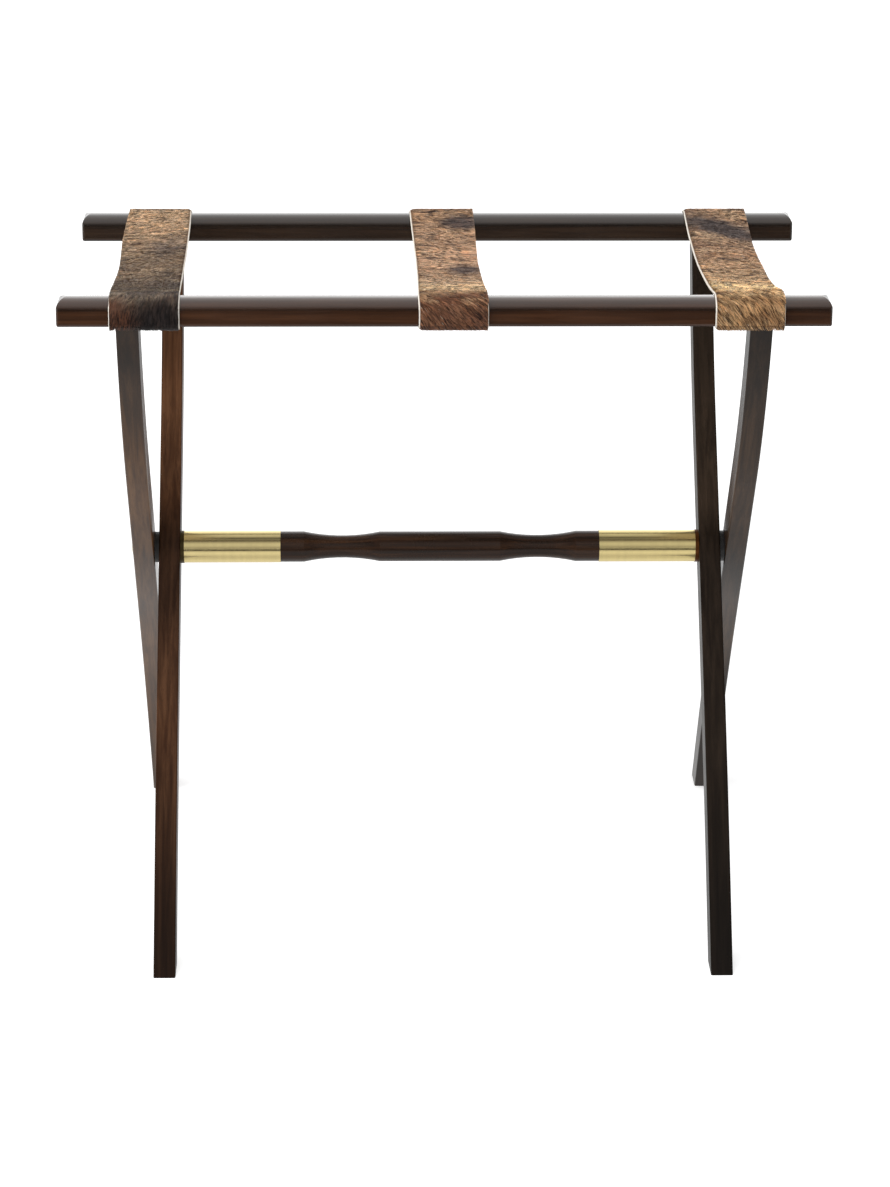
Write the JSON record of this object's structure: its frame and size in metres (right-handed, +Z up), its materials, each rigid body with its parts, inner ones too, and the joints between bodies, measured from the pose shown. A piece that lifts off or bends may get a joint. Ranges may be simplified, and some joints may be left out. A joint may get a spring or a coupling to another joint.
{
  "type": "luggage rack",
  "caption": "Folding luggage rack with curved dark wood legs, rounded rails, a turned brass-ended stretcher and brindled hide straps.",
  "frame": {"origin": "on the floor, under the middle of the rack", "axes": "+X along the rails to the right, +Y to the rear, +Z up"},
  "size_m": [0.66, 0.4762, 0.6017],
  "materials": {
    "lacquered_wood": "dark brown stain under satin lacquer",
    "satin_brass": "satin, lightly aged",
    "dark_brass": "darkened",
    "black_plastic": "matt",
    "plain_steel": "plain",
    "brindled_hide": "hair-on hide, brindled tan, brown and black"
  },
  "bodies": {
    "outer_frame": {"front_rail": "lacquered_wood", "outer_leg_left": "lacquered_wood", "outer_leg_right": "lacquered_wood", "rail_screws_front": "plain_steel", "strap_tacks_front": "plain_steel", "hide_strap_left": "brindled_hide", "hide_strap_middle": "brindled_hide", "hide_strap_right": "brindled_hide"},
    "inner_frame": {"rear_rail": "lacquered_wood", "inner_leg_left": "lacquered_wood", "inner_leg_right": "lacquered_wood", "rail_screws_rear": "plain_steel", "strap_tacks_rear": "plain_steel", "stretcher": "lacquered_wood", "ferrule_left": "satin_brass", "ferrule_right": "satin_brass", "stretcher_collar_left": "dark_brass", "stretcher_collar_right": "dark_brass", "pivot_spacer_left": "black_plastic", "pivot_spacer_right": "black_plastic", "pivot_bolt_left": "satin_brass", "pivot_bolt_right": "satin_brass"}
  },
  "joints": [
    {"name": "fold", "type": "hinge", "parent": "outer_frame", "child": "inner_frame", "pos_m": [0, 0, 0.322], "axis": [1, 0, 0], "range_deg": [0, 51], "deforming": ["hide_strap_left", "hide_strap_middle", "hide_strap_right"]}
  ]
}
